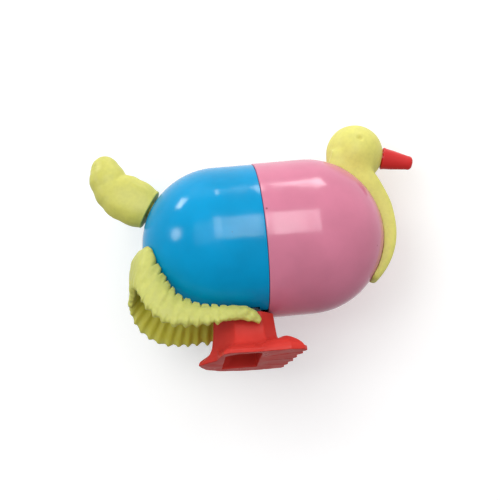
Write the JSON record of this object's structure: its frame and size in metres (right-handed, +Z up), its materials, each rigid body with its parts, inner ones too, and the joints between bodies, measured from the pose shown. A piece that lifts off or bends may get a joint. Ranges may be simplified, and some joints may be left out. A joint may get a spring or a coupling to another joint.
{
  "type": "wind-up hopping chicken",
  "caption": "Clockwork toy chick with a capsule body in two glossy shells, soft vinyl head, tail and feather skirt, and a sprung hopping foot.",
  "frame": {"origin": "on the ground at the sole of the foot, straight below the seam of the body shells", "axes": "+X forward towards the beak, +Y the toy's left, +Z up"},
  "size_m": [0.0905, 0.0465, 0.0646],
  "materials": {
    "blue_plastic": "gloss moulded",
    "pink_plastic": "gloss moulded",
    "yellow_vinyl": "soft satin moulded",
    "red_plastic": "semi-gloss moulded",
    "steel": "satin",
    "spring_steel": "blued",
    "brass": "satin",
    "nylon": "matte"
  },
  "bodies": {
    "body": {"rear_shell": "blue_plastic", "front_shell": "pink_plastic", "head_and_neck": "yellow_vinyl", "beak": "red_plastic", "tail": "yellow_vinyl", "feather_frill": "yellow_vinyl", "motor_plate_left": "steel", "motor_plate_right": "steel", "plate_pillars": "steel", "motor_screws": "steel", "mainspring": "spring_steel", "foot_pivot_pin": "steel", "foot_return_spring": "spring_steel"},
    "winding_train": {"winding_key": "red_plastic", "winding_arbor": "steel", "spring_hub": "steel", "great_wheel": "brass", "ratchet_wheel": "steel", "click_spring": "spring_steel"},
    "second_wheel_set": {"second_arbor": "steel", "second_pinion": "steel", "second_wheel": "brass"},
    "output_shaft": {"output_arbor": "steel", "output_pinion": "steel", "output_wheel": "brass", "hop_cam": "nylon"},
    "governor": {"governor_arbor": "steel", "governor_pinion": "steel", "flywheel": "brass"},
    "foot": {"foot": "red_plastic", "leg_lever": "steel", "foot_screws": "steel", "follower_pin": "steel"},
    "roller": {"follower_roller": "nylon"}
  },
  "joints": [
    {"name": "key_spin", "type": "hinge", "parent": "body", "child": "winding_train", "pos_m": [-0.00502, 0, 0.03387], "axis": [0, 1, 0], "continuous": true},
    {"name": "second_spin", "type": "hinge", "parent": "body", "child": "second_wheel_set", "pos_m": [0.00863, 0, 0.03184], "axis": [0, 1, 0], "continuous": true},
    {"name": "output_spin", "type": "hinge", "parent": "body", "child": "output_shaft", "pos_m": [0.00343, 0, 0.02419], "axis": [0, 1, 0], "continuous": true},
    {"name": "governor_spin", "type": "hinge", "parent": "body", "child": "governor", "pos_m": [0.01138, 0, 0.02328], "axis": [0, 1, 0], "continuous": true},
    {"name": "foot_kick", "type": "hinge", "parent": "body", "child": "foot", "pos_m": [-0.00971, 0, 0.02174], "axis": [0, 1, 0], "range_deg": [0, 9], "stiffness_Nm_per_rad": 0.005, "springref_deg": -17.19, "deforming": ["foot_return_spring"]},
    {"name": "roller_spin", "type": "hinge", "parent": "foot", "child": "roller", "pos_m": [0.00355, 0, 0.01954], "axis": [0, 1, 0], "continuous": true}
  ],
  "couplings": [
    {"joint": "second_spin", "follows": "key_spin", "ratio": -3.6},
    {"joint": "output_spin", "follows": "key_spin", "ratio": 11.2},
    {"joint": "governor_spin", "follows": "key_spin", "ratio": -33.6}
  ]
}
